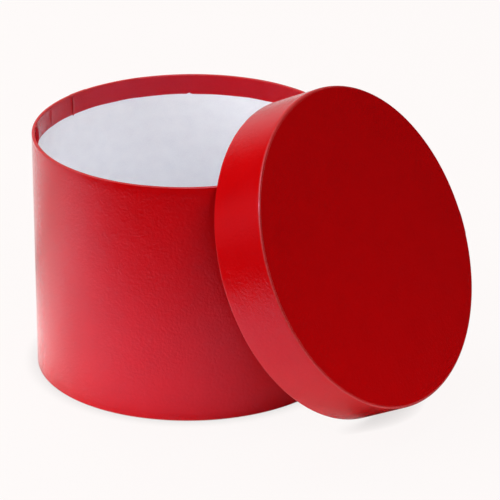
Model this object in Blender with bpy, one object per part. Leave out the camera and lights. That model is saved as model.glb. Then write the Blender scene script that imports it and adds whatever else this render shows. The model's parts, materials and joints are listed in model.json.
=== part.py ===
"""Round gift box of paper-covered board, with its lid taken off and leaning on the open box.

Box and lid are made the same way: a rolled board wall, a board disc closing one end, a covering paper
that is turned in over the rim and turned under at the closed end, a round sheet over that end, and
white lining papers inside. The lid is the same shell, wider and shallower, and turned over.

Lengths are in metres. The origin is the centre of the box's underside, +Z is up, and the lid leans
away from the box towards +X, with its own axis in the XZ plane.
"""

import math

import bmesh
import bpy
from mathutils import Matrix, Vector

# Box
box_diameter = 0.2000
box_height = 0.1590
box_wall_board = 0.0015
base_board_thickness = 0.0015
box_turn_in = 0.0136
box_lap_width = 0.0270

# Lid
lid_clearance = 0.0011
lid_depth = 0.0373
lid_wall_board = 0.0015
top_board_thickness = 0.0015
lid_turn_in = 0.0120
lid_lap_width = 0.0150

# Papers, and the room that glue and contact take
cover_paper = 0.00015
lining_paper = 0.00015
glue_gap = 0.0003
contact_gap = 0.0003

# How the lid leans: the rise of its axis above the floor
lean_degrees = 26.0

# Rounding of the wall board's outer corner at the closed end, as a share of its thickness
box_corner_share = 0.4
lid_corner_share = 0.8

# Where the covering paper's overlap starts, in degrees round each shell's own axis
box_lap_degrees = 174.0
lid_lap_degrees = 285.0

# The step at the overlap's cut edge and its fading at the hidden end, as shares of the overlap
lap_edge_share = 0.004
lap_fade_share = 0.1

# Fineness of the round forms
round_segments = 80
rim_steps = 4
corner_steps = 2
board_rim_steps = 2
board_corner_steps = 1

# Fineness of the search for the lid's seat
lip_samples = 360
seat_halvings = 40

# Finishes: sRGB colour and roughness
cover_finish = ("covering_paper_red", "#C2101F", 0.42)
lining_finish = ("lining_paper_white", "#F1F1F5", 0.80)
board_finish = ("greyboard", "#9C9488", 0.90)


def linear(channel):
    """Linear value of one sRGB channel."""
    if channel <= 0.04045:
        return channel / 12.92
    return ((channel + 0.055) / 1.055) ** 2.4


def make_material(name, colour, roughness):
    """A plain material for one sub-part."""
    channels = [int(colour[start:start + 2], 16) / 255 for start in (1, 3, 5)]
    material = bpy.data.materials.new(name)
    material.use_nodes = True
    shader = material.node_tree.nodes["Principled BSDF"]
    shader.inputs["Base Color"].default_value = [linear(channel) for channel in channels] + [1]
    shader.inputs["Roughness"].default_value = roughness
    shader.inputs["Metallic"].default_value = 0
    return material


def add_object(name, shape, finish, seat):
    """Turn a bmesh into a named object, shaded smooth and parented to its seat."""
    bmesh.ops.recalc_face_normals(shape, faces=shape.faces)
    mesh = bpy.data.meshes.new(name)
    shape.to_mesh(mesh)
    shape.free()
    mesh.shade_smooth()
    mesh.set_sharp_from_angle(angle=math.radians(35))
    piece = bpy.data.objects.new(name, mesh)
    bpy.context.collection.objects.link(piece)
    slot, colour, roughness = finish
    mesh.materials.append(make_material(f"{name}_{slot}", colour, roughness))
    piece.parent = seat
    return piece


def add_seat(name, place):
    """An empty that carries one shell: its height axis is the shell's own axis."""
    seat = bpy.data.objects.new(name, None)
    bpy.context.collection.objects.link(seat)
    seat.matrix_world = place
    return seat


def arc(centre, radius, start_degrees, end_degrees, steps):
    """Points on an arc in the half section, as (radius, height)."""
    points = []
    for step in range(steps + 1):
        angle = math.radians(start_degrees + (end_degrees - start_degrees) * step / steps)
        points.append((centre[0] + radius * math.cos(angle), centre[1] + radius * math.sin(angle)))
    return points


def turned(section):
    """A ring turned from a closed half section given as (radius, height)."""
    shape = bmesh.new()
    corners = [shape.verts.new((radius, 0, height)) for radius, height in section]
    edges = [shape.edges.new((corners[i - 1], corners[i])) for i in range(len(corners))]
    bmesh.ops.spin(
        shape,
        geom=corners + edges,
        cent=(0, 0, 0),
        axis=(0, 0, 1),
        angle=math.tau,
        steps=round_segments,
        use_merge=True,
    )
    return shape


def disc(radius, low, high):
    """A flat round sheet or board between two heights."""
    shape = bmesh.new()
    bmesh.ops.create_circle(shape, cap_ends=True, segments=round_segments, radius=radius)
    bmesh.ops.translate(shape, verts=shape.verts, vec=(0, 0, low))
    swept = bmesh.ops.extrude_face_region(shape, geom=shape.faces[:], use_keep_orig=True)
    risen = [item for item in swept["geom"] if isinstance(item, bmesh.types.BMVert)]
    bmesh.ops.translate(shape, verts=risen, vec=(0, 0, high - low))
    return shape


class Shell:
    """One shell in its own frame: closed end at height 0, open rim at its full height."""

    def __init__(self, outer_radius, height, wall_board, end_board, turn_in, corner_share, lap):
        self.outer_radius = outer_radius
        self.height = height
        self.lap_degrees, self.lap_width = lap
        self.cover = glue_gap + cover_paper
        self.board_radius = outer_radius - self.cover
        self.bore_radius = self.board_radius - wall_board
        self.half_board = wall_board / 2
        self.corner = wall_board * corner_share
        self.board_foot = 2 * self.cover
        self.board_top = height - self.cover
        self.band_end = height - turn_in
        self.end_board_low = self.cover
        self.end_board_high = self.cover + end_board
        self.floor = self.end_board_high + glue_gap + lining_paper
        self.lining_radius = self.bore_radius - glue_gap
        self.lip_radius = self.board_radius - self.half_board
        self.rim_round = self.half_board + self.cover

    def wall_line(self, offset, corner_count, rim_count):
        """The wall board's foot, outer face and rim in half section, moved out by an offset."""
        corner_centre = (self.board_radius - self.corner, self.board_foot + self.corner)
        rim_centre = (self.lip_radius, self.board_top - self.half_board)
        line = [(self.bore_radius, self.board_foot - offset)]
        line += arc(corner_centre, self.corner + offset, -90, 0, corner_count)
        line += arc(rim_centre, self.half_board + offset, 0, 180, rim_count)
        return line

    def wall_board_shape(self):
        """The rolled board wall, its rim worn round and its foot eased."""
        return turned(self.wall_line(0, board_corner_steps, board_rim_steps))

    def end_board_shape(self):
        """The board disc that closes the shell, seated inside the wall."""
        return disc(self.bore_radius - glue_gap, self.end_board_low, self.end_board_high)

    def end_sheet_shape(self):
        """The round sheet outside the closed end, which hides the covering paper's turned edge."""
        return disc(self.board_radius - self.corner, 0, cover_paper)

    def wall_lining_shape(self):
        """The white paper inside the wall, from the floor up to the turned-in band."""
        low = self.end_board_high + glue_gap
        high = self.band_end - glue_gap
        inner = self.lining_radius - lining_paper
        return turned([(inner, low), (self.lining_radius, low), (self.lining_radius, high), (inner, high)])

    def end_lining_shape(self):
        """The white paper disc on the end board, inside the wall lining."""
        radius = self.lining_radius - lining_paper - glue_gap
        return disc(radius, self.end_board_high + glue_gap, self.floor)

    def paper_section(self, layers):
        """Closed half section of the covering paper where it lies a number of layers thick."""
        section = []
        for offset in (glue_gap, glue_gap + cover_paper * layers):
            line = self.wall_line(offset, corner_steps, rim_steps)
            line.append((self.bore_radius - offset, self.band_end))
            section.append(line)
        glued, shown = section
        return glued + shown[::-1]

    def paper_columns(self):
        """Angles round the shell, each with the paper's layers there: one, or two at the overlap."""
        start = math.radians(self.lap_degrees)
        lap = self.lap_width / self.outer_radius
        cut_edge = start - lap * lap_edge_share
        doubled = lap * (1 - lap_fade_share)
        doubled_steps = math.ceil(round_segments * doubled / math.tau)
        single = math.tau + cut_edge - start - lap
        single_steps = round_segments - doubled_steps
        columns = [(start + doubled * step / doubled_steps, 2) for step in range(doubled_steps + 1)]
        columns += [(start + lap + single * step / single_steps, 1) for step in range(single_steps + 1)]
        return columns

    def covering_paper_shape(self):
        """The covering paper: turned under, up the wall, over the rim and in, with its overlap."""
        shape = bmesh.new()
        rings = []
        for angle, layers in self.paper_columns():
            turn = Matrix.Rotation(angle, 3, "Z")
            section = self.paper_section(layers)
            rings.append([shape.verts.new(turn @ Vector((radius, 0, height))) for radius, height in section])
        for ring in range(len(rings)):
            near, far = rings[ring - 1], rings[ring]
            for corner in range(len(near)):
                shape.faces.new((near[corner - 1], near[corner], far[corner], far[corner - 1]))
        return shape


def room_beside_box(box, radius, height):
    """Distance from a point to the box, taken as a closed drum with a rounded rim."""
    past_rim = radius - (box.outer_radius - box.rim_round)
    over_rim = height - (box.height - box.rim_round)
    if over_rim <= 0:
        return radius - box.outer_radius
    if past_rim <= 0:
        return height - box.height
    return math.hypot(past_rim, over_rim) - box.rim_round


def room_at_lip(box, lid, lean, mouth):
    """Least distance between the lid's rounded lip and the box, with the lid's mouth centre at a place."""
    across = math.cos(lean)
    up = math.sin(lean)
    rooms = []
    for sample in range(lip_samples + 1):
        angle = math.pi * sample / lip_samples
        rise = lid.lip_radius * math.cos(angle)
        side = lid.lip_radius * math.sin(angle)
        lip_x = mouth.x + lid.rim_round * across - rise * up
        lip_z = mouth.z + lid.rim_round * up + rise * across
        rooms.append(room_beside_box(box, math.hypot(lip_x, side), lip_z))
    return min(rooms) - lid.rim_round


def seat_of_leaning_lid(box, lid, lean):
    """Centre of the lid's mouth when the lid leans on the box with its axis raised by an angle.

    The lid stands on its lowest edge and slides in until its lip meets the box, on both sides of the
    rim or at the wall, or until the rim meets the inside of the lid's top.
    """
    across = math.cos(lean)
    up = math.sin(lean)
    mouth_height = contact_gap + lid.rim_round * (1 - up) + lid.lip_radius * across
    inner_reach = 0
    outer_reach = box.outer_radius + lid.outer_radius + lid.height
    for _ in range(seat_halvings):
        reach = (inner_reach + outer_reach) / 2
        if room_at_lip(box, lid, lean, Vector((reach, 0, mouth_height))) > contact_gap:
            outer_reach = reach
        else:
            inner_reach = reach

    rim_rise = box.height - box.rim_round - mouth_height
    hollow_depth = lid.height - lid.floor - box.rim_round - contact_gap
    reach_at_top = box.lip_radius + (rim_rise * up - hollow_depth) / across
    return Vector((max(outer_reach, reach_at_top), 0, mouth_height))


def build_box(box):
    """The open box, standing on its base sheet."""
    seat = add_seat("box_seat", Matrix.Identity(4))
    add_object("wall_board", box.wall_board_shape(), board_finish, seat)
    add_object("base_board", box.end_board_shape(), board_finish, seat)
    add_object("wall_paper", box.covering_paper_shape(), cover_finish, seat)
    add_object("base_paper", box.end_sheet_shape(), cover_finish, seat)
    add_object("wall_lining", box.wall_lining_shape(), lining_finish, seat)
    add_object("floor_lining", box.end_lining_shape(), lining_finish, seat)


def build_lid(lid, box):
    """The lid, turned over and leaning on the box, on the axis that it lifts off along."""
    lean = math.radians(lean_degrees)
    mouth = Matrix.Translation(seat_of_leaning_lid(box, lid, lean))
    tip = Matrix.Rotation(math.pi / 2 - lean, 4, "Y")
    turned_over = Matrix.Translation((0, 0, lid.height)) @ Matrix.Rotation(math.pi, 4, "X")
    seat = add_seat("lid_seat", mouth @ tip @ turned_over)
    add_object("lid_wall_board", lid.wall_board_shape(), board_finish, seat)
    add_object("lid_top_board", lid.end_board_shape(), board_finish, seat)
    add_object("lid_wall_paper", lid.covering_paper_shape(), cover_finish, seat)
    add_object("lid_top_paper", lid.end_sheet_shape(), cover_finish, seat)
    add_object("lid_wall_lining", lid.wall_lining_shape(), lining_finish, seat)
    add_object("lid_top_lining", lid.end_lining_shape(), lining_finish, seat)


def main():
    """Clear the scene, then build the box and the lid."""
    for old in list(bpy.data.objects):
        bpy.data.objects.remove(old)
    box = Shell(
        outer_radius=box_diameter / 2,
        height=box_height,
        wall_board=box_wall_board,
        end_board=base_board_thickness,
        turn_in=box_turn_in,
        corner_share=box_corner_share,
        lap=(box_lap_degrees, box_lap_width),
    )
    lid_wall = 2 * glue_gap + cover_paper + lid_wall_board + max(cover_paper, lining_paper)
    lid = Shell(
        outer_radius=box.outer_radius + lid_clearance + lid_wall,
        height=lid_depth,
        wall_board=lid_wall_board,
        end_board=top_board_thickness,
        turn_in=lid_turn_in,
        corner_share=lid_corner_share,
        lap=(lid_lap_degrees, lid_lap_width),
    )
    build_box(box)
    build_lid(lid, box)


main()
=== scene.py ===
"""Looks of a round gift box of paper-covered board, its shallow lid leaning on the open rim.

The covering papers, sheets and linings are modelled again as real sheets: strips with two ends that
overlap, turned over the rim and under the closed end, and discs with cut edges. The boards stay as they
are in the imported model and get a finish. Every length is in metres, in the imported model's own frame.
"""

import json
import math
from collections import namedtuple

import bmesh
import bpy
from mathutils import Matrix, Vector, noise


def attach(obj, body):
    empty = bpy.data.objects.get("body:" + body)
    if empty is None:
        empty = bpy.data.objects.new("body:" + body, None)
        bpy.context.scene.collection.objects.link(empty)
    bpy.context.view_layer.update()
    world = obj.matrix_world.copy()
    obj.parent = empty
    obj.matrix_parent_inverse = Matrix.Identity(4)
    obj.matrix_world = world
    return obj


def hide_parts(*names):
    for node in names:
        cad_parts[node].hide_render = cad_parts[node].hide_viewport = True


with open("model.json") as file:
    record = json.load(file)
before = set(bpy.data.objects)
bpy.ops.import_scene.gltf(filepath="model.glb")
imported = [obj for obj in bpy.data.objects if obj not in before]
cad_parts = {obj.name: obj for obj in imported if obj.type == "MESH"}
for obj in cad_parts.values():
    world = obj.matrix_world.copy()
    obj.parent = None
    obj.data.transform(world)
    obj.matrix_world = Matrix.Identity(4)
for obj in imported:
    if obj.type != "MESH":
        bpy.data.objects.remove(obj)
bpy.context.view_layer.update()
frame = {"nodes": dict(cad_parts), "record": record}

bl_info = {
    "name": "Round Gift Box",
    "version": (1, 0, 0),
    "blender": (4, 5, 0),
    "location": "View3D > Sidebar > Gift Box",
    "description": "Dresses a round paper-covered box and its lid, and sets them on a studio table",
    "category": "Object",
}

mm = 0.001
flat_sheet = "flat_sheet"  # UV map of a paper as it lay before it was glued, in metres
fold_share = "fold"  # how near a point of a paper is to a folded edge, from 0 to 1
noise_range = {"From Min": 0.3, "From Max": 0.7}  # nearly all values of a noise texture
mottle_range = {"From Min": 0.12, "From Max": 0.42}  # nearly all products of two noise textures
white = (1.0, 1.0, 1.0, 1)
dark_light = 0.02  # white level of what is dark in the papers' sheen
lamp_distance = 1.6
lamp_aim = Vector((0.04, 0, 0.08))  # between the box and its lid


def linear(hex_colour):
    """A hex colour in sRGB as a linear colour, by the sRGB standard's own curve."""
    parts = [int(hex_colour[place : place + 2], 16) / 255 for place in (1, 3, 5)]
    return tuple(part / 12.92 if part <= 0.04045 else ((part + 0.055) / 1.055) ** 2.4 for part in parts)


def length(name, description, default):
    """A length that a user can change."""
    return bpy.props.FloatProperty(name=name, description=description, default=default, unit="LENGTH")


def angle(name, description, degrees):
    """An angle that a user can change."""
    return bpy.props.FloatProperty(
        name=name, description=description, default=math.radians(degrees), unit="ROTATION"
    )


def point(name, description, default):
    """A point that a user can move."""
    return bpy.props.FloatVectorProperty(name=name, description=description, default=default, unit="LENGTH")


def share(name, description, default):
    """A white level, a share or a ratio, where 1 is white, all or even."""
    return bpy.props.FloatProperty(name=name, description=description, default=default, min=0)


def colour(name, description, hex_colour):
    """A colour that a user can change."""
    return bpy.props.FloatVectorProperty(
        name=name, description=description, default=linear(hex_colour), subtype="COLOR", min=0, max=1
    )


class GiftBoxPapers(bpy.types.PropertyGroup):
    """Thicknesses of the papers, and how they are laid on the boards."""

    glue_film: length("Glue film", "Glue between a covering paper and its board", 0.23 * mm)
    cover: length("Covering paper", "Thickness of the laminated red paper", 0.15 * mm)
    lining: length("Lining paper", "Thickness of the white lining", 0.22 * mm)
    contact: length("Contact", "Air between two papers that lie on each other", 0.02 * mm)
    turned_under: length("Turned under", "Covering paper that is turned under the closed end", 9.0 * mm)
    tucked: length("Tucked in", "Turned-in paper that goes on behind the lining", 1.5 * mm)
    edge_wander: length("Edge wander", "How far a hand-laid cut edge strays from its line", 0.25 * mm)
    wall_wave: length("Wall wave", "Depth of the shallow waves that rolling leaves in a wall", 0.10 * mm)
    rim_wave: length("Rim wave", "Depth of the dips that handling leaves along a rim", 0.18 * mm)
    rim_round: length("Rim rounding", "Rounding of the paper's two folds over a rim", 0.6 * mm)
    end_curl: length("End curl", "How far the covering paper's end stands off the turned-in band", 0.6 * mm)
    end_curl_width: length("End curl width", "Length of paper that stands off at the upper end", 4.0 * mm)
    corner_round: length("Corner rounding", "Rounding of the covering paper at the closed end", 1.1 * mm)
    ring_step: length("Ring step", "How far an end sheet sinks inside the turned-under paper", 0.1 * mm)


class GiftBoxBox(bpy.types.PropertyGroup):
    """What the papers of the box follow."""

    turn_in: length("Turn-in", "Depth of the red band inside the rim", 13.6 * mm)
    face_height: length("Base height", "Height of the base sheet's shown face", 0.0)
    lap_angle: angle("Overlap", "Where the upper end of the covering paper lies", 175.3)
    lap_width: length("Overlap width", "How far the covering paper's ends lie on each other", 14.0 * mm)
    lining_lap_angle: angle("Lining overlap", "Where the upper end of the wall lining lies", 318.0)
    nick_angle: angle("Nick", "Where the lining's upper edge has a small raised nick", 124.4)
    nick_width: length("Nick width", "Length of the nick along the edge", 2.4 * mm)
    nick_height: length("Nick height", "How far the nick stands above the edge", 0.9 * mm)
    pleat_angle: angle("Pleat", "Where the turned-in paper has a loose pleat", 210.0)
    pleat_width: length("Pleat width", "Length of paper that rises towards the pleat's edge", 20.0 * mm)
    pleat_depth: length("Pleat depth", "How far the pleat's edge stands off the band", 1.9 * mm)
    crease_angle: angle("Crease", "Where the turned-in paper has a pressed crease", 190.0)
    crease_width: length("Crease width", "Length of paper that rises towards the crease", 12.0 * mm)
    crease_depth: length("Crease depth", "How far the crease stands off the band", 0.5 * mm)


class GiftBoxLid(bpy.types.PropertyGroup):
    """What the papers of the lid follow."""

    turn_in: length("Turn-in", "Depth of the red band inside the mouth", 12.0 * mm)
    face_height: length("Top height", "How far the top sheet's face lies inside the packed top", 0.08 * mm)
    worn_angle: angle("Worn edge", "Where the lid's edge is worn rounder, there and opposite", 180.0)
    worn_round: length("Worn rounding", "Extra rounding of the worn edge", 0.85 * mm)
    lap_angle: angle("Overlap", "Where the upper end of the covering paper lies", 285.0)
    lap_width: length("Overlap width", "How far the covering paper's ends lie on each other", 15.0 * mm)
    lining_lap_angle: angle("Lining overlap", "Where the upper end of the wall lining lies", 60.0)
    dent_angle: angle("Dent", "Where the edge of the lid's top has been knocked flat", 125.0)
    dent_width: length("Dent width", "Length of the knocked edge", 11.0 * mm)
    dent_depth: length("Dent depth", "How far the knocked edge is pressed in", 0.6 * mm)


class GiftBoxColours(bpy.types.PropertyGroup):
    """Colours of the papers, the boards and the table."""

    cover: colour("Covering paper", "Printed red of the covering paper", "#BC0002")
    cover_deep: colour("Thick ink", "Red where the ink lies thicker", "#B50002")
    core: colour("Paper core", "White core that shows at the covering paper's cut edges", "#E9DDDA")
    lining: colour("Lining", "White of the lining paper", "#F8FAFE")
    fibre: colour("Lining fibres", "Slightly darker fibres in the lining paper", "#F0F2F8")
    board: colour("Greyboard", "Grey of the pulp board", "#9C9488")
    fleck: colour("Greyboard flecks", "Dark flecks of old print in the pulp board", "#6F6A63")
    table: colour("Table", "Matt white of the studio table", "#FEFAF9")


class GiftBoxStage(bpy.types.PropertyGroup):
    """The camera's place, the table and the lights."""

    azimuth: angle("Camera azimuth", "Turn of the camera round the box, from straight in front", 33.73)
    elevation: angle("Camera elevation", "Height of the camera above the horizon", 23.10)
    roll: angle("Camera roll", "Turn of the camera round its own view", -0.292)
    distance: length("Camera distance", "From the camera to the point that it looks at", 2.5675)
    target: point("Camera target", "Point that the camera looks at", (0.03228, 0.02156, 0.07464))
    focal_length: bpy.props.FloatProperty(
        name="Focal length",
        description="Focal length for a picture 36 mm wide, in millimetres",
        default=286.4,
        subtype="DISTANCE_CAMERA",
    )
    table_radius: length("Table radius", "Half width of the round studio table", 3.0)
    # The lit table is a painted pool of light in the table's paint, not a lamp
    pool_centre: point(
        "Lit table centre", "Middle of the part that throws light back at the box", (0.09, -0.13, 0.0)
    )
    pool_radius: length("Lit table radius", "Half width of the fully lit part of the table", 0.10)
    pool_fade: length("Lit table fade", "Width over which the table's light fades into the dark room", 0.42)
    pool_light: share("Lit table", "How much more light than white paint the lit part throws back", 1.5)
    # The bright table is painted reflection in the table's paint, seen only in the papers' sheen
    sheen_centre: point(
        "Bright table centre", "Middle of the part that is bright in the sheen", (-0.13, -0.155, 0.0)
    )
    sheen_turn: angle("Bright table turn", "Turn of the bright part's long side", 28.0)
    sheen_stretch: share("Bright table stretch", "How many times longer than wide the bright part is", 1.9)
    sheen_radius: length("Bright table radius", "Half width of the bright part", 0.065)
    sheen_fade: length("Bright table fade", "Width over which the bright part fades", 0.24)
    sheen_light: share("Bright table", "How many times brighter the table is in the paper's sheen", 1.5)
    shadow: share("Shadow", "Share of the table's white that the lamps' shadows can take away", 0.03)
    # The contact shadow is painted shadow in the white that the camera sees
    contact_shadow: share("Contact shadow", "Share of the white that is lost right under an edge", 0.28)
    contact_reach: length("Contact shadow reach", "How far the contact shadow spreads", 0.010)
    # The dim table is painted shade in the papers' sheen, next to the box
    dim_reach: length("Dim table reach", "How far from the box the table is shaded in the sheen", 0.07)
    table_light: share("Light on the table", "White level that lamps and room give an open white table", 1.26)
    room_light: share("Room", "White level of the dim room round the table", 0.15)
    wall_light: share("Pale wall", "White level of the wall low at the back in the paper's sheen", 0.6)
    # The pale wall's glow is painted reflection of the wall's light on the table, seen only in the sheen
    wall_glow: share("Pale wall's glow", "White level of the wall's side of the table in the sheen", 0.83)
    wall_side: bpy.props.FloatVectorProperty(
        name="Pale wall side",
        description="Direction from the box to the pale wall",
        default=(-0.76, 0.65, 0.0),
        subtype="DIRECTION",
    )


def add_node(tree, kind, sockets=None, **settings):
    """Adds a shader node. Sockets holds input values, outputs to link, or nodes that link their output."""
    made = tree.nodes.new(kind)
    for name, value in settings.items():
        setattr(made, name, value)
    for key, value in (sockets or {}).items():
        if isinstance(value, bpy.types.Node):
            value = next(output for output in value.outputs if output.enabled)
        if isinstance(value, bpy.types.NodeSocket):
            tree.links.new(value, made.inputs[key])
        else:
            made.inputs[key].default_value = value
    return made


def new_material(name):
    """An empty node material and its tree."""
    finish = bpy.data.materials.new(name)
    finish.use_nodes = True
    finish.node_tree.nodes.clear()
    return finish, finish.node_tree


def laminated_art_paper(colours):
    """Art paper, printed solid red and matt laminated.

    The film gives a satin sheen, slightly pink from the ink under it. The pulp board below makes the sheen
    uneven, and along the folds the film is rubbed a little paler.
    """
    finish, tree = new_material("laminated_red_art_paper")
    board_relief, relief_depth = 7.0 * mm, 0.14 * mm  # unevenness of the board under the paper
    pressed_grain, grain_depth = 1.8 * mm, 0.22 * mm  # the glued paper's grain
    fine_grain, fine_depth = 0.7 * mm, 0.02 * mm  # really about 0.3 mm: drawn as coarse as a pixel to show
    ink_patch = 22.0 * mm
    most_bared = 0.12  # share of the white core that shows where a fold is rubbed most
    film_roughness = {"To Min": 0.13, "To Max": 0.21}
    film_gloss = 0.38  # a matt film mirrors less than a clear one, whose level is 0.5
    film_tint = (1.0, 0.62, 0.95, 1)
    sheet = add_node(tree, "ShaderNodeUVMap", uv_map=flat_sheet)
    fold = add_node(tree, "ShaderNodeAttribute", attribute_name=fold_share).outputs["Fac"]
    relief, grain, fine, ink = (
        add_node(tree, "ShaderNodeTexNoise", {"Vector": sheet, "Scale": 1 / size, "Detail": 3.0})
        for size in (board_relief, pressed_grain, fine_grain, ink_patch)
    )
    mottle = add_node(tree, "ShaderNodeMath", {0: ink, 1: grain}, operation="MULTIPLY")
    inked = add_node(tree, "ShaderNodeMapRange", {"Value": mottle, **mottle_range})
    inks = {0: inked, 6: (*colours.cover, 1), 7: (*colours.cover_deep, 1)}
    printed = add_node(tree, "ShaderNodeMix", inks, data_type="RGBA")
    rubbed = add_node(tree, "ShaderNodeMath", {0: fold, 1: grain}, operation="MULTIPLY")
    bared = add_node(tree, "ShaderNodeMapRange", {"Value": rubbed, "To Max": most_bared})
    wear = {0: bared, 6: printed, 7: (*colours.core, 1)}
    worn = add_node(tree, "ShaderNodeMix", wear, data_type="RGBA")
    satin = add_node(tree, "ShaderNodeMapRange", {"Value": grain, **noise_range, **film_roughness})
    smooth_face = None
    for height, depth in ((relief, relief_depth), (grain, grain_depth), (fine, fine_depth)):
        pressed = {"Height": height, "Strength": 1.0, "Distance": depth}
        if smooth_face:
            pressed["Normal"] = smooth_face
        smooth_face = add_node(tree, "ShaderNodeBump", pressed)
    film = {"IOR": 1.5, "Specular IOR Level": film_gloss, "Specular Tint": film_tint}
    look = {"Base Color": worn, "Roughness": satin, **film, "Normal": smooth_face}
    surface = add_node(tree, "ShaderNodeBsdfPrincipled", look)
    add_node(tree, "ShaderNodeOutputMaterial", {"Surface": surface})
    return finish


def cut_paper_core(colours):
    """The core of art paper where a knife has cut it: uncoated white fibres, tinted by the ink."""
    finish, tree = new_material("cut_art_paper_core")
    fibre = 0.3 * mm  # bundles of fibres, which only soften the tone of so thin an edge
    least_dyed = 0.75
    place = add_node(tree, "ShaderNodeTexCoord").outputs["Object"]
    fibres = add_node(tree, "ShaderNodeTexNoise", {"Vector": place, "Scale": 1 / fibre, "Detail": 2.0})
    dyed = add_node(tree, "ShaderNodeMapRange", {"Value": fibres, "To Min": least_dyed})
    tints = {0: dyed, 6: (*colours.core, 1), 7: (*colours.cover, 1)}
    tint = add_node(tree, "ShaderNodeMix", tints, data_type="RGBA")
    look = {"Base Color": tint, "Roughness": 0.85, "IOR": 1.45}
    surface = add_node(tree, "ShaderNodeBsdfPrincipled", look)
    add_node(tree, "ShaderNodeOutputMaterial", {"Surface": surface})
    return finish


def woodfree_lining_paper(colours):
    """Uncoated woodfree white paper: matt, with faint cloudy fibres and a soft tooth."""
    finish, tree = new_material("woodfree_white_lining_paper")
    cloud = 9.0 * mm
    fibre, tooth_depth = 0.9 * mm, 0.02 * mm
    sheet = add_node(tree, "ShaderNodeUVMap", uv_map=flat_sheet)
    clouds, fibres = (
        add_node(tree, "ShaderNodeTexNoise", {"Vector": sheet, "Scale": 1 / size, "Detail": 4.0})
        for size in (cloud, fibre)
    )
    mottle = add_node(tree, "ShaderNodeMath", {0: clouds, 1: fibres}, operation="MULTIPLY")
    shade = add_node(tree, "ShaderNodeMapRange", {"Value": mottle, **mottle_range})
    whites = {0: shade, 6: (*colours.lining, 1), 7: (*colours.fibre, 1)}
    pulp_white = add_node(tree, "ShaderNodeMix", whites, data_type="RGBA")
    tooth = add_node(tree, "ShaderNodeBump", {"Height": fibres, "Strength": 1.0, "Distance": tooth_depth})
    look = {"Base Color": pulp_white, "Roughness": 0.82, "IOR": 1.45, "Specular IOR Level": 0.3}
    surface = add_node(tree, "ShaderNodeBsdfPrincipled", {**look, "Normal": tooth})
    add_node(tree, "ShaderNodeOutputMaterial", {"Surface": surface})
    return finish


def pressed_greyboard(colours):
    """Greyboard pressed from recycled pulp: dull grey, cloudy, with dark flecks of old print."""
    finish, tree = new_material("pressed_greyboard")
    pulp, pulp_depth = 4.0 * mm, 0.05 * mm
    fleck = 1.1 * mm  # spacing of the flecks
    fleck_size = {"From Min": 0.28, "From Max": 0.12}  # in spacings, from a fleck's edge to its full dark
    fleck_strength = 0.8
    place = add_node(tree, "ShaderNodeTexCoord").outputs["Object"]
    clouds = add_node(tree, "ShaderNodeTexNoise", {"Vector": place, "Scale": 1 / pulp, "Detail": 5.0})
    flecks = add_node(tree, "ShaderNodeTexVoronoi", {"Vector": place, "Scale": 1 / fleck})
    dark = add_node(tree, "ShaderNodeMapRange", {"Value": flecks, **fleck_size, "To Max": fleck_strength})
    greys = {0: dark, 6: (*colours.board, 1), 7: (*colours.fleck, 1)}
    grey = add_node(tree, "ShaderNodeMix", greys, data_type="RGBA")
    rough = add_node(tree, "ShaderNodeBump", {"Height": clouds, "Strength": 1.0, "Distance": pulp_depth})
    look = {"Base Color": grey, "Roughness": 0.92, "IOR": 1.45, "Normal": rough}
    surface = add_node(tree, "ShaderNodeBsdfPrincipled", look)
    add_node(tree, "ShaderNodeOutputMaterial", {"Surface": surface})
    return finish


def cover_finishes(colours):
    """The covering paper's two finishes: its laminated faces and its cut edges."""
    known = bpy.data.materials.get
    return [
        known("laminated_red_art_paper") or laminated_art_paper(colours),
        known("cut_art_paper_core") or cut_paper_core(colours),
    ]


def lining_finishes(colours):
    """The lining's finish, the same on its faces and its cut edges."""
    finish = bpy.data.materials.get("woodfree_white_lining_paper") or woodfree_lining_paper(colours)
    return [finish, finish]


# A point of a laid paper: place, outward direction, place on the flat sheet and nearness to a fold
Spot = namedtuple("Spot", "place out flat fold")


def arc(centre, radius, start_degrees, end_degrees, steps):
    """Points on a fold in the half section, with their outward directions and nearness to the fold."""
    points = []
    for step in range(steps + 1):
        turn = math.radians(start_degrees + (end_degrees - start_degrees) * step / steps)
        out = Vector((math.cos(turn), math.sin(turn)))
        points.append((Vector(centre) + radius * out, out, math.sin(math.pi * step / steps)))
    return points


def straight(start, end, out, steps, fold=0):
    """Points on a straight line in the half section, both ends left out."""
    return [(Vector(start).lerp(Vector(end), step / steps), Vector(out), fold) for step in range(1, steps)]


def stray(turn, height, waves, salt):
    """A smooth stray between about -1 and 1 that closes round a shell. Its salt sets it apart."""
    return noise.noise(Vector((math.cos(turn) * waves, math.sin(turn) * waves, height + salt)))


def dip(turn, height, waves, salt):
    """A stray between about -1 and 0, for what sinks and never stands proud."""
    return (stray(turn, height, waves, salt) - 1) / 2


def smooth(value, low, high):
    """0 below low, 1 above high and an even slope between."""
    way = min(max((value - low) / (high - low), 0), 1)
    return way * way * (3 - 2 * way)


def bulge(distance, width):
    """1 at no distance, falling smoothly to 0 half a width away."""
    return 1 - smooth(abs(distance), 0, width / 2)


def turned(turn, point):
    """A point or direction of the half section, turned round the shell's axis."""
    return Vector((point[0] * math.cos(turn), point[0] * math.sin(turn), point[1]))


def nearest_turn(turn, mark):
    """The signed angle from a mark to a turn, the short way round."""
    return (turn - mark + math.pi) % math.tau - math.pi


def measured(node, seat):
    """Inner radius, outer radius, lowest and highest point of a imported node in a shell's own frame."""
    packed = frame["nodes"][node]
    place = seat.inverted() @ packed.matrix_world
    corners = [place @ vertex.co for vertex in packed.data.vertices]
    radii = [corner.xy.length for corner in corners]
    heights = [corner.z for corner in corners]
    return min(radii), max(radii), min(heights), max(heights)


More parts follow.
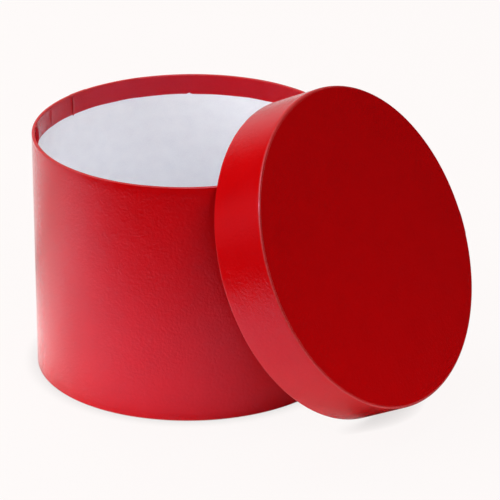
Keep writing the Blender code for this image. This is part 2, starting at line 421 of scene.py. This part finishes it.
def seat_of_lid():
    """The lid's own frame: origin on its flat top, +Z towards its mouth, +X down its lean."""
    mount = next(item for item in frame["record"]["mounts"] if item["name"] == "lid_top")
    inward = -Vector(mount["axis"])
    across = Vector((0, -1, 0))
    turn = Matrix((across.cross(inward), across, inward)).transposed().to_4x4()
    return Matrix.Translation(mount["pos_m"]) @ turn


class Shell:
    """One shell in its own frame, measured from its boards: closed end at height 0, open rim on top."""

    # How finely the papers are divided
    columns = 288
    lap_columns = 12
    lining_lap_columns = 6
    wall_rows = 24
    arc_rows = 10
    under_rows = 4
    rim_rows = 3
    band_rows = 8
    sheet_rings = 30
    ring_crowding = 0.7  # power that sets the outer rings closer together
    end_spacing = 0.5 * mm  # between columns at a paper's end or step
    fold_spacing = 0.2 * mm  # between columns beside a pleat or crease

    # Waves round a shell, and the salt that sets each stray apart
    wall_waves = (3, 0)
    rim_waves = (6, 7.7)
    cover_edge_waves = (9, 3.1)
    sheet_edge_waves = (7, 5.3)
    under_edge_waves = (12, 9.9)
    lining_edge_waves = (8, 1.7)
    waves_per_metre = 18  # up a wall
    floor_waves_per_metre = 40  # round the floor, per metre from its middle
    floor_salt = 2.2

    # Small lengths and shapes that the papers of both shells share
    lap_fall = 1.0 * mm  # over which a paper comes down from the end that it lies on
    lining_lap = 10.0 * mm
    lining_lap_fall = 1.15  # where that fall ends in the lining, in overlaps
    fold_fall = 0.4 * mm  # over which a pleat's sharp edge falls back to the board
    sheet_inset = 0.1 * mm  # from the rounding of the closed end's edge to the end sheet
    sink_width = 2.5 * mm  # over which the end sheet sinks inside the turned-under paper
    under_edge_raggedness = 3  # times the stray of a straight cut edge
    lining_inset = 3  # thicknesses of lining between the wall lining and the end disc
    wear_narrowness = 8  # power that keeps the wear to a short length of the edge
    dent_reach = 4  # corner roundings over which a dent spreads
    curl_fullness = 0.4  # power that holds loose paper off over most of its depth

    def __init__(self, seat, wall_board, end_board, sizes, papers):
        self.seat = seat
        self.sizes = sizes
        self.papers = papers
        self.bore, self.board_radius, _, self.board_top = measured(wall_board, seat)
        self.end_board_high = measured(end_board, seat)[3]
        self.shown = papers.glue_film + papers.cover
        self.outer = self.board_radius + self.shown
        self.bottom = sizes.face_height + papers.cover + papers.contact
        self.top = self.board_top + self.shown
        self.rim_height = self.top - papers.rim_round
        self.band_radius = self.bore - self.shown
        self.band_end = self.top - sizes.turn_in
        self.lining_radius = self.band_radius - papers.contact - papers.lining
        self.lap_step = (sizes.lap_width, sizes.lap_width + self.lap_fall)

    def corner_at(self, turn):
        """Rounding of the closed end's edge: more where it is worn."""
        corner = self.papers.corner_round
        if hasattr(self.sizes, "worn_angle"):
            wear = math.cos(turn - self.sizes.worn_angle) ** self.wear_narrowness
            corner += self.sizes.worn_round * wear
        return corner

    def cover_line(self, turn):
        """Half section of the covering paper's face, from its turned-under to its turned-in edge."""
        rim = self.papers.rim_round
        corner = self.corner_at(turn)
        corner_centre = (self.outer - corner, self.bottom + corner)
        under_edge = (self.outer - self.papers.turned_under, self.bottom)
        wall_foot = (self.outer, corner_centre[1])
        wall_top = (self.outer, self.rim_height)
        outer_fold = (self.outer - rim, self.rim_height)
        inner_fold = (self.band_radius + rim, self.rim_height)
        rim_start, rim_end = (outer_fold[0], self.top), (inner_fold[0], self.top)
        band_top = (self.band_radius, self.rim_height)
        band_foot = (self.band_radius, self.band_end - self.papers.tucked)
        down, outward, up, inward = (0, -1), (1, 0), (0, 1), (-1, 0)
        between_folds = 0.5  # the rim's flat is narrow, so its nearness to a fold stays at half
        line = [(Vector(under_edge), Vector(down), 0)]
        line += straight(under_edge, (corner_centre[0], self.bottom), down, self.under_rows)
        line += arc(corner_centre, corner, -90, 0, self.arc_rows)
        line += straight(wall_foot, wall_top, outward, self.wall_rows)
        line += arc(outer_fold, rim, 0, 90, self.arc_rows)
        line += straight(rim_start, rim_end, up, self.rim_rows, between_folds)
        line += arc(inner_fold, rim, 90, 180, self.arc_rows)
        line += straight(band_top, band_foot, inward, self.band_rows)
        line += [(Vector(band_foot), Vector(inward), 0)]
        return line

    def dent(self, turn, point):
        """How far the knocked place on the closed end's edge is pressed in at a point."""
        if not hasattr(self.sizes, "dent_angle"):
            return 0
        along = nearest_turn(turn, self.sizes.dent_angle) * self.outer
        near = (point - Vector((self.outer, self.bottom))).length
        spread = self.dent_reach * self.papers.corner_round
        return self.sizes.dent_depth * bulge(along, self.sizes.dent_width) * bulge(near, spread)

    def pleats(self):
        """The folds of the turned-in band: where they are, how wide and how deep."""
        sizes = self.sizes
        if not hasattr(sizes, "pleat_angle"):
            return []
        return [
            (sizes.pleat_angle, sizes.pleat_width, sizes.pleat_depth),
            (sizes.crease_angle, sizes.crease_width, sizes.crease_depth),
        ]

    def folded(self, turn):
        """How far the turned-in band stands off the board: a slow rise to each fold's sharp edge."""
        stands = 0
        for mark, width, depth in self.pleats():
            before = -nearest_turn(turn, mark) * self.bore
            rise = max(1 - max(before, 0) / width, 0) ** 2
            stands += depth * rise * smooth(before, -self.fold_fall, 0)
        return stands

    def cover_strip(self):
        """Columns of the covering strip: from the end that lies on top, once round and under it."""
        lap = self.sizes.lap_width / self.outer
        turns = [math.tau * step / self.columns for step in range(self.columns)]
        turns += [math.tau + lap * step / self.lap_columns for step in range(self.lap_columns + 1)]
        turns += [step * self.end_spacing / self.outer for step in (1, 2, 3)]
        turns += [lap + step * self.end_spacing / self.outer for step in (1, 2)]
        for mark, _, _ in self.pleats():
            fold = (self.sizes.lap_angle - mark) % math.tau
            turns += [fold + step * self.fold_spacing / self.bore for step in (-3, -2, -1, 0, 1)]
        columns = []
        for turn in sorted(turns):
            along = turn * self.outer
            lifted = (self.papers.cover + self.papers.contact) * (1 - smooth(along, *self.lap_step))
            curled = self.papers.end_curl * max(1 - along / self.papers.end_curl_width, 0) ** 2
            here = self.sizes.lap_angle - turn
            curled += self.folded(here)
            line = self.cover_line(here)
            edge = self.papers.edge_wander * stray(here, 0, *self.cover_edge_waves)
            column = []
            run = 0
            before = line[0][0]
            for point, out, fold in line:
                run += (point - before).length
                before = point
                wave = self.papers.wall_wave * dip(here, point.y * self.waves_per_metre, *self.wall_waves)
                rim = smooth(point.y, self.rim_height, self.top)
                rim *= self.papers.rim_wave * dip(here, 0, *self.rim_waves)
                spot = point + out * (lifted + wave + rim - self.dent(here, point))
                if out.x < 0 and point.y < self.rim_height:
                    inside = min((self.rim_height - point.y) / (self.rim_height - self.band_end), 1)
                    spot.y += edge * inside
                    spot.x -= curled * math.sin(math.pi * inside) ** self.curl_fullness
                column.append(Spot(turned(here, spot), turned(here, out), (along, run), fold))
            columns.append(column)
        return columns

    def end_sheet(self):
        """Columns of the round sheet over the closed end, which lies on the turned paper's ring."""
        columns = []
        for step in range(self.columns):
            turn = math.tau * step / self.columns
            reach = self.outer - self.corner_at(turn) - self.sheet_inset
            reach += self.papers.edge_wander * dip(turn, 0, *self.sheet_edge_waves)
            column = []
            for ring in range(self.sheet_rings):
                radius = reach * ((ring + 1) / self.sheet_rings) ** self.ring_crowding
                place = turned(turn, (radius, self.sizes.face_height + self.ghost(turn, radius)))
                column.append(Spot(place, Vector((0, 0, -1)), place.xy.to_tuple(), 0))
            columns.append(column)
        return columns

    def ghost(self, turn, radius):
        """How far the end sheet sinks where the turned-under paper below it stops."""
        ragged = self.under_edge_raggedness * self.papers.edge_wander
        stop = self.outer - self.papers.turned_under + ragged * stray(turn, 0, *self.under_edge_waves)
        return self.papers.ring_step * (1 - smooth(radius, stop - self.sink_width, stop))

    def lining_strip(self):
        """Columns of the wall lining, which covers the turned-in paper's lower edge."""
        lap = self.lining_lap / self.lining_radius
        low = self.end_board_high + self.papers.glue_film
        turns = [math.tau * step / self.columns for step in range(self.columns)]
        lap_steps = self.lining_lap_columns
        turns += [math.tau + lap * step / lap_steps for step in range(lap_steps + 1)]
        columns = []
        for turn in turns:
            lifted = self.papers.lining + self.papers.contact
            lifted *= 1 - smooth(turn, lap, lap * self.lining_lap_fall)
            here = turn + self.sizes.lining_lap_angle
            top = self.band_end + self.papers.edge_wander * stray(here, 0, *self.lining_edge_waves)
            if hasattr(self.sizes, "nick_angle"):
                along = nearest_turn(here, self.sizes.nick_angle) * self.outer
                top += self.sizes.nick_height * bulge(along, self.sizes.nick_width)
            column = []
            for row in range(self.wall_rows + 1):
                height = low + (top - low) * row / self.wall_rows
                wave = self.papers.wall_wave * dip(here, height * self.waves_per_metre, *self.wall_waves)
                radius = self.lining_radius - lifted - wave
                place = turned(here, (radius, height))
                flat = (turn * self.lining_radius, height)
                column.append(Spot(place, turned(here, (-1, 0)), flat, 0))
            columns.append(column)
        return columns

    def end_lining(self):
        """Columns of the white disc on the end board, inside the wall lining."""
        reach = self.lining_radius - self.lining_inset * self.papers.lining
        high = self.end_board_high + self.papers.glue_film + self.papers.lining
        columns = []
        for step in range(self.columns):
            turn = math.tau * step / self.columns
            column = []
            for ring in range(self.sheet_rings):
                radius = reach * (ring + 1) / self.sheet_rings
                waves = radius * self.floor_waves_per_metre
                sunk = self.papers.wall_wave / 2 * dip(turn, 0, waves, self.floor_salt)
                place = turned(turn, (radius, high + sunk))
                column.append(Spot(place, Vector((0, 0, 1)), place.xy.to_tuple(), 0))
            columns.append(column)
        return columns


def laid_paper(columns, thickness, seat, is_disc=False):
    """A paper as a closed mesh: a grid of shown spots with its thickness behind them.

    Face material 0 is for the paper's two faces and 1 for its cut edges. A disc's columns meet again, and
    its first row lies round its middle.
    """
    shape = bmesh.new()
    flat_layer = shape.loops.layers.uv.new(flat_sheet)
    fold_layer = shape.verts.layers.float.new(fold_share)
    flat_places = {}

    def corner(spot, depth):
        made = shape.verts.new(seat @ (spot.place - spot.out * depth))
        made[fold_layer] = spot.fold
        flat_places[made] = spot.flat
        return made

    def face(corners, finish):
        made = shape.faces.new(corners)
        made.material_index = finish
        for loop in made.loops:
            loop[flat_layer].uv = flat_places[loop.vert]

    shown = [[corner(spot, 0) for spot in column] for column in columns]
    glued = [[corner(spot, thickness) for spot in column] for column in columns]
    rows = range(1, len(columns[0]))
    for step in range(0 if is_disc else 1, len(columns)):
        for row in rows:
            near, far = shown[step - 1], shown[step]
            face((near[row - 1], near[row], far[row], far[row - 1]), 0)
            near, far = glued[step - 1], glued[step]
            face((near[row - 1], far[row - 1], far[row], near[row]), 0)
        for row in (-1,) if is_disc else (0, -1):
            face((shown[step - 1][row], glued[step - 1][row], glued[step][row], shown[step][row]), 1)
    if is_disc:
        face([column[0] for column in shown], 0)
        face([column[0] for column in glued], 0)
    else:
        for end in (0, -1):
            for row in rows:
                face((shown[end][row - 1], shown[end][row], glued[end][row], glued[end][row - 1]), 1)
    bmesh.ops.recalc_face_normals(shape, faces=shape.faces)
    return shape


def add_piece(name, shape, body, replaced, finishes):
    """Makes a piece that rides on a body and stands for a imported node."""
    mesh = bpy.data.meshes.new(name)
    shape.to_mesh(mesh)
    shape.free()
    mesh.shade_smooth()
    mesh.set_sharp_from_angle(angle=math.radians(40))
    for finish in finishes:
        mesh.materials.append(finish)
    piece = bpy.data.objects.new(name, mesh)
    bpy.context.scene.collection.objects.link(piece)
    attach(piece, body)
    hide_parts(replaced)


def box_shell(scene):
    """The box's shell with its user's sizes."""
    seat = Matrix.Identity(4)
    return Shell(seat, "wall_board", "base_board", scene.gift_box_box, scene.gift_box_papers)


def lid_shell(scene):
    """The lid's shell with its user's sizes."""
    seat = seat_of_lid()
    return Shell(seat, "lid_wall_board", "lid_top_board", scene.gift_box_lid, scene.gift_box_papers)


def lay_cover(shell, body, strip_name, strip_node, sheet_name, sheet_node):
    """Lays a shell's red covering strip and the round sheet on its closed end."""
    finishes = cover_finishes(bpy.context.scene.gift_box_colours)
    thickness = shell.papers.cover
    strip = laid_paper(shell.cover_strip(), thickness, shell.seat)
    add_piece(strip_name, strip, body, strip_node, finishes)
    sheet = laid_paper(shell.end_sheet(), thickness, shell.seat, is_disc=True)
    add_piece(sheet_name, sheet, body, sheet_node, finishes)


def lay_lining(shell, body, strip_name, strip_node, disc_name, disc_node):
    """Lays the white papers inside a shell: on its wall and on its closed end."""
    finishes = lining_finishes(bpy.context.scene.gift_box_colours)
    thickness = shell.papers.lining
    strip = laid_paper(shell.lining_strip(), thickness, shell.seat)
    add_piece(strip_name, strip, body, strip_node, finishes)
    disc = laid_paper(shell.end_lining(), thickness, shell.seat, is_disc=True)
    add_piece(disc_name, disc, body, disc_node, finishes)


class GIFTBOX_OT_cover_box(bpy.types.Operator):
    """Lay the box's red covering strip and the round sheet under its base"""

    bl_idname = "gift_box.cover_box"
    bl_label = "Cover Box"

    def execute(self, context):
        strip, sheet = "box_covering_strip", "box_base_sheet"
        lay_cover(box_shell(context.scene), "box", strip, "wall_paper", sheet, "base_paper")
        return {"FINISHED"}


class GIFTBOX_OT_line_box(bpy.types.Operator):
    """Lay the white papers inside the box"""

    bl_idname = "gift_box.line_box"
    bl_label = "Line Box"

    def execute(self, context):
        strip, disc = "box_wall_lining_strip", "box_floor_lining_disc"
        lay_lining(box_shell(context.scene), "box", strip, "wall_lining", disc, "floor_lining")
        return {"FINISHED"}


class GIFTBOX_OT_cover_lid(bpy.types.Operator):
    """Lay the lid's red covering strip and the round sheet on its top"""

    bl_idname = "gift_box.cover_lid"
    bl_label = "Cover Lid"

    def execute(self, context):
        strip, sheet = "lid_covering_strip", "lid_top_sheet"
        lay_cover(lid_shell(context.scene), "lid", strip, "lid_wall_paper", sheet, "lid_top_paper")
        return {"FINISHED"}


class GIFTBOX_OT_line_lid(bpy.types.Operator):
    """Lay the white papers inside the lid"""

    bl_idname = "gift_box.line_lid"
    bl_label = "Line Lid"

    def execute(self, context):
        strip, disc = "lid_wall_lining_strip", "lid_top_lining_disc"
        lay_lining(lid_shell(context.scene), "lid", strip, "lid_wall_lining", disc, "lid_top_lining")
        return {"FINISHED"}


class GIFTBOX_OT_finish_boards(bpy.types.Operator):
    """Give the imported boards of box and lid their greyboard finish"""

    bl_idname = "gift_box.finish_boards"
    bl_label = "Finish Boards"

    def execute(self, context):
        finish = pressed_greyboard(context.scene.gift_box_colours)
        for node in ("wall_board", "base_board", "lid_wall_board", "lid_top_board"):
            for place in frame["nodes"][node].material_slots:
                place.material = finish
        return {"FINISHED"}


def matt_table_paint(colours, stage):
    """Matt white paint, rolled on: no gloss, and the tone of the studio's white background.

    The camera sees it evenly white with the box's soft shadow: painted shadow right under the box's edges and
    a small share of the lamps' real shadow. To diffuse rays its colour holds a painted pool of light round
    the box, brighter than white paint and dark further out, which leaves the reds deep. In the papers' sheen
    it has
    a painted reflection: a bright part beside the box and a glow on the side of the pale wall, with painted
    shade next to the box. The object has no metal and no glass, so only camera rays see the white.
    """
    finish, tree = new_material("matt_white_table_paint")
    roller_mark, mark_depth = 30.0 * mm, 0.02 * mm
    glow_reach = 0.25  # metres towards the wall at which the table's glow is full
    shade_range = {"From Min": 0.38, "From Max": 0.66}  # open air over it, fully shaded to unshaded
    least_light = 0.03  # share of its light that the shaded table keeps
    place = add_node(tree, "ShaderNodeTexCoord").outputs["Object"]
    marks = add_node(tree, "ShaderNodeTexNoise", {"Vector": place, "Scale": 1 / roller_mark, "Detail": 2.0})
    rolled = add_node(tree, "ShaderNodeBump", {"Height": marks, "Distance": mark_depth})

    # Painted pool of light: to diffuse rays the paint is brighter than white round the box and fades to dark
    # further out
    away = add_node(tree, "ShaderNodeVectorMath", {0: place, 1: stage.pool_centre}, operation="DISTANCE")
    pool_edge = {"From Min": stage.pool_radius, "From Max": stage.pool_radius + stage.pool_fade}
    painted_pool = {"Value": away, **pool_edge, "To Min": stage.pool_light, "To Max": 0.0}
    near = add_node(tree, "ShaderNodeMapRange", painted_pool)

    # Painted reflection: to glossy rays the paint has a bright oval beside the box, brighter than white
    # paint,
    turn, stretch = (0, 0, stage.sheen_turn), (stage.sheen_stretch, 1, 1)
    oval = {"Vector": place, "Location": stage.sheen_centre, "Rotation": turn, "Scale": stretch}
    stretched = add_node(tree, "ShaderNodeMapping", oval, vector_type="TEXTURE")
    off_centre = add_node(tree, "ShaderNodeVectorMath", {0: stretched}, operation="LENGTH")
    sheen_edge = {"From Min": stage.sheen_radius, "From Max": stage.sheen_radius + stage.sheen_fade}
    sheen = {"Value": off_centre, **sheen_edge, "To Min": stage.sheen_light, "To Max": dark_light}
    bright = add_node(tree, "ShaderNodeMapRange", sheen)
    # and a painted glow on the pale wall's side of the table
    wall_side = tuple(stage.wall_side)
    towards = add_node(tree, "ShaderNodeVectorMath", {0: place, 1: wall_side}, operation="DOT_PRODUCT")
    glow = {"Value": towards, "From Max": glow_reach, "To Max": stage.wall_glow}
    painted_wall_glow = add_node(tree, "ShaderNodeMapRange", glow)
    mirrored = add_node(tree, "ShaderNodeMath", {0: bright, 1: painted_wall_glow}, operation="MAXIMUM")
    # Painted shade: in the sheen the table is darkened next to the box, where little open air is over it
    painted_shade_air = add_node(tree, "ShaderNodeAmbientOcclusion", {"Distance": stage.dim_reach}, samples=4)
    shade = {"Value": painted_shade_air.outputs["AO"], **shade_range, "To Min": least_light}
    unshaded = add_node(tree, "ShaderNodeMapRange", shade)
    painted_sheen_light = add_node(tree, "ShaderNodeMath", {0: mirrored, 1: unshaded}, operation="MULTIPLY")

    path = add_node(tree, "ShaderNodeLightPath")
    # Diffuse rays see the painted pool of light, glossy rays the painted reflection with its painted shade
    lights = {0: path.outputs["Is Glossy Ray"], 2: near, 3: painted_sheen_light}
    painted_light = add_node(tree, "ShaderNodeMix", lights, data_type="FLOAT")
    lit = {0: tuple(colours.table), "Scale": painted_light}
    white_with_painted_light = add_node(tree, "ShaderNodeVectorMath", lit, operation="SCALE")
    paint = add_node(tree, "ShaderNodeBsdfDiffuse", {"Color": white_with_painted_light, "Normal": rolled})

    # Painted shadow: the white that the camera sees is darkened right under the box's edges, where little air
    # is over it
    painted_shadow_air = add_node(tree, "ShaderNodeAmbientOcclusion", {"Distance": stage.contact_reach}, samples=8)
    painted_shadow_range = {"Value": painted_shadow_air.outputs["AO"], "To Min": 1 - stage.contact_shadow}
    contact = add_node(tree, "ShaderNodeMapRange", painted_shadow_range)
    whites = {0: contact, 6: (0, 0, 0, 1), 7: (*colours.table, 1)}
    white_with_painted_shadow = add_node(tree, "ShaderNodeMix", whites, data_type="RGBA")
    # The emission carries the painted shadow; the small diffuse share below keeps the lamps' real shadow
    even_light = 1 - stage.shadow * stage.table_light
    even = add_node(tree, "ShaderNodeEmission", {"Color": white_with_painted_shadow, "Strength": even_light})
    shadow_paint = (*(stage.shadow * part for part in colours.table), 1)
    shadowed = add_node(tree, "ShaderNodeBsdfDiffuse", {"Color": shadow_paint})
    seen = add_node(tree, "ShaderNodeAddShader", {0: even, 1: shadowed})
    chosen = add_node(tree, "ShaderNodeMixShader", {0: path.outputs["Is Camera Ray"], 1: paint, 2: seen})
    add_node(tree, "ShaderNodeOutputMaterial", {"Surface": chosen})
    return finish


def soft_box(name, azimuth, elevation, size, strength, in_gloss=False):
    """A square soft lamp at a compass angle round the box; its strength is the white level of its face."""
    turn, rise = math.radians(azimuth), math.radians(elevation)
    towards = Vector((math.cos(rise) * math.cos(turn), math.cos(rise) * math.sin(turn), math.sin(rise)))
    lamp = bpy.data.lights.new(name, "AREA")
    lamp.shape = "SQUARE"
    lamp.size = size
    lamp.energy = strength * math.pi * size * size
    lit = bpy.data.objects.new(name, lamp)
    lit.location = lamp_aim + towards * lamp_distance
    lit.rotation_mode = "QUATERNION"
    lit.rotation_quaternion = (-towards).to_track_quat("-Z", "Y")
    lit.visible_glossy = in_gloss
    lit.visible_diffuse = not in_gloss
    bpy.context.scene.collection.objects.link(lit)


def studio_world(colours, stage):
    """White behind the table for camera rays alone, because the object has no metal and no glass.

    A dim even room lights the papers, and their sheen shows a paler wall, low behind the box.
    """
    wall_top = {"From Min": 0.4, "From Max": 0.6}  # height over which the wall fades, 1 straight up
    wall_edge = {"From Min": 0.82, "From Max": 0.95}  # its sides' fade, 1 in the wall's own direction
    world = bpy.data.worlds.new("studio_room")
    bpy.context.scene.world = world
    world.use_nodes = True
    tree = world.node_tree
    tree.nodes.clear()
    ray = add_node(tree, "ShaderNodeTexCoord").outputs["Generated"]
    height = add_node(tree, "ShaderNodeSeparateXYZ", {"Vector": ray}).outputs["Z"]
    lowness = {"Value": height, **wall_top, "To Min": 1.0, "To Max": 0.0}
    low = add_node(tree, "ShaderNodeMapRange", lowness)
    wall_side = tuple(stage.wall_side)
    back = add_node(tree, "ShaderNodeVectorMath", {0: ray, 1: wall_side}, operation="DOT_PRODUCT")
    behind = add_node(tree, "ShaderNodeMapRange", {"Value": back, **wall_edge})
    wall = add_node(tree, "ShaderNodeMath", {0: low, 1: behind}, operation="MULTIPLY")
    paleness = {"Value": wall, "To Min": dark_light, "To Max": stage.wall_light}
    pale = add_node(tree, "ShaderNodeMapRange", paleness)
    path = add_node(tree, "ShaderNodeLightPath")
    room = add_node(tree, "ShaderNodeBackground", {"Color": white, "Strength": stage.room_light})
    mirrored = add_node(tree, "ShaderNodeBackground", {"Color": white, "Strength": pale})
    backdrop = add_node(tree, "ShaderNodeBackground", {"Color": (*colours.table, 1), "Strength": 1.0})
    unseen = add_node(tree, "ShaderNodeMixShader", {0: path.outputs["Is Glossy Ray"], 1: room, 2: mirrored})
    behind_all = {0: path.outputs["Is Camera Ray"], 1: unseen, 2: backdrop}
    mixed = add_node(tree, "ShaderNodeMixShader", behind_all)
    add_node(tree, "ShaderNodeOutputWorld", {"Surface": mixed})


def studio_camera(stage):
    """The camera at the photograph's angle."""
    azimuth, level = stage.azimuth, math.cos(stage.elevation)
    back = Vector((math.sin(azimuth) * level, -math.cos(azimuth) * level, math.sin(stage.elevation)))
    right = Vector((math.cos(azimuth), math.sin(azimuth), 0))
    up = back.cross(right)
    rolled_right = math.cos(stage.roll) * right + math.sin(stage.roll) * up
    rolled_up = math.cos(stage.roll) * up - math.sin(stage.roll) * right
    lens = bpy.data.cameras.new("studio_camera")
    lens.sensor_width = 36.0
    lens.lens = stage.focal_length
    lens.clip_start = 0.05
    lens.clip_end = 50.0
    camera = bpy.data.objects.new("studio_camera", lens)
    turn = Matrix((rolled_right, rolled_up, back)).transposed().to_4x4()
    camera.matrix_world = Matrix.Translation(Vector(stage.target) + back * stage.distance) @ turn
    bpy.context.scene.collection.objects.link(camera)
    bpy.context.scene.camera = camera


class GIFTBOX_OT_set_stage(bpy.types.Operator):
    """Set up the studio table, the soft lamps and the camera"""

    bl_idname = "gift_box.set_stage"
    bl_label = "Set Stage"

    def execute(self, context):
        stage = context.scene.gift_box_stage
        colours = context.scene.gift_box_colours
        shape = bmesh.new()
        bmesh.ops.create_circle(shape, cap_ends=True, segments=96, radius=stage.table_radius)
        mesh = bpy.data.meshes.new("studio_table")
        shape.to_mesh(mesh)
        shape.free()
        mesh.materials.append(matt_table_paint(colours, stage))
        table = bpy.data.objects.new("studio_table", mesh)
        context.scene.collection.objects.link(table)
        # Name, azimuth and elevation in degrees, width in metres, white level
        soft_box("back_soft_box", 135, 40, 1.0, 1.9)
        soft_box("left_soft_box", 225, 32, 1.0, 5.3)
        soft_box("front_soft_box", 317, 32, 1.0, 1.3)
        soft_box("right_soft_box", 350, 35, 1.0, 2.5)
        soft_box("high_left_soft_box", 170, 62, 1.0, 4.6)
        # Shows only in the sheen, as the lit edge of the lid
        soft_box("front_top_spark", 322, 64, 0.8, 8.0, in_gloss=True)
        studio_world(colours, stage)
        studio_camera(stage)
        context.scene.view_settings.view_transform = "Standard"
        return {"FINISHED"}


class GIFTBOX_PT_gift_box(bpy.types.Panel):
    """Sizes, colours and building steps of the gift box"""

    bl_label = "Gift Box"
    bl_space_type = "VIEW_3D"
    bl_region_type = "UI"
    bl_category = "Gift Box"

    def draw(self, context):
        for step in steps:
            self.layout.operator(step.bl_idname)
        for owner_name, group in groups.items():
            owner = getattr(context.scene, owner_name)
            sizes = self.layout.box()
            for name in group.__annotations__:
                sizes.prop(owner, name)


groups = {
    "gift_box_papers": GiftBoxPapers,
    "gift_box_box": GiftBoxBox,
    "gift_box_lid": GiftBoxLid,
    "gift_box_colours": GiftBoxColours,
    "gift_box_stage": GiftBoxStage,
}
steps = (
    GIFTBOX_OT_cover_box,
    GIFTBOX_OT_line_box,
    GIFTBOX_OT_cover_lid,
    GIFTBOX_OT_line_lid,
    GIFTBOX_OT_finish_boards,
    GIFTBOX_OT_set_stage,
)


def register():
    """Registers the settings, the operators and the panel."""
    for name, group in groups.items():
        bpy.utils.register_class(group)
        setattr(bpy.types.Scene, name, bpy.props.PointerProperty(type=group))
    for step in (*steps, GIFTBOX_PT_gift_box):
        bpy.utils.register_class(step)


def unregister():
    """Takes the panel, the operators and the settings away again."""
    for step in (GIFTBOX_PT_gift_box, *reversed(steps)):
        bpy.utils.unregister_class(step)
    for name, group in reversed(groups.items()):
        delattr(bpy.types.Scene, name)
        bpy.utils.unregister_class(group)


def main():
    """Builds every piece and the stage."""
    register()
    bpy.ops.gift_box.cover_box()
    bpy.ops.gift_box.line_box()
    bpy.ops.gift_box.cover_lid()
    bpy.ops.gift_box.line_lid()
    bpy.ops.gift_box.finish_boards()
    bpy.ops.gift_box.set_stage()


if __name__ == "__main__":
    main()
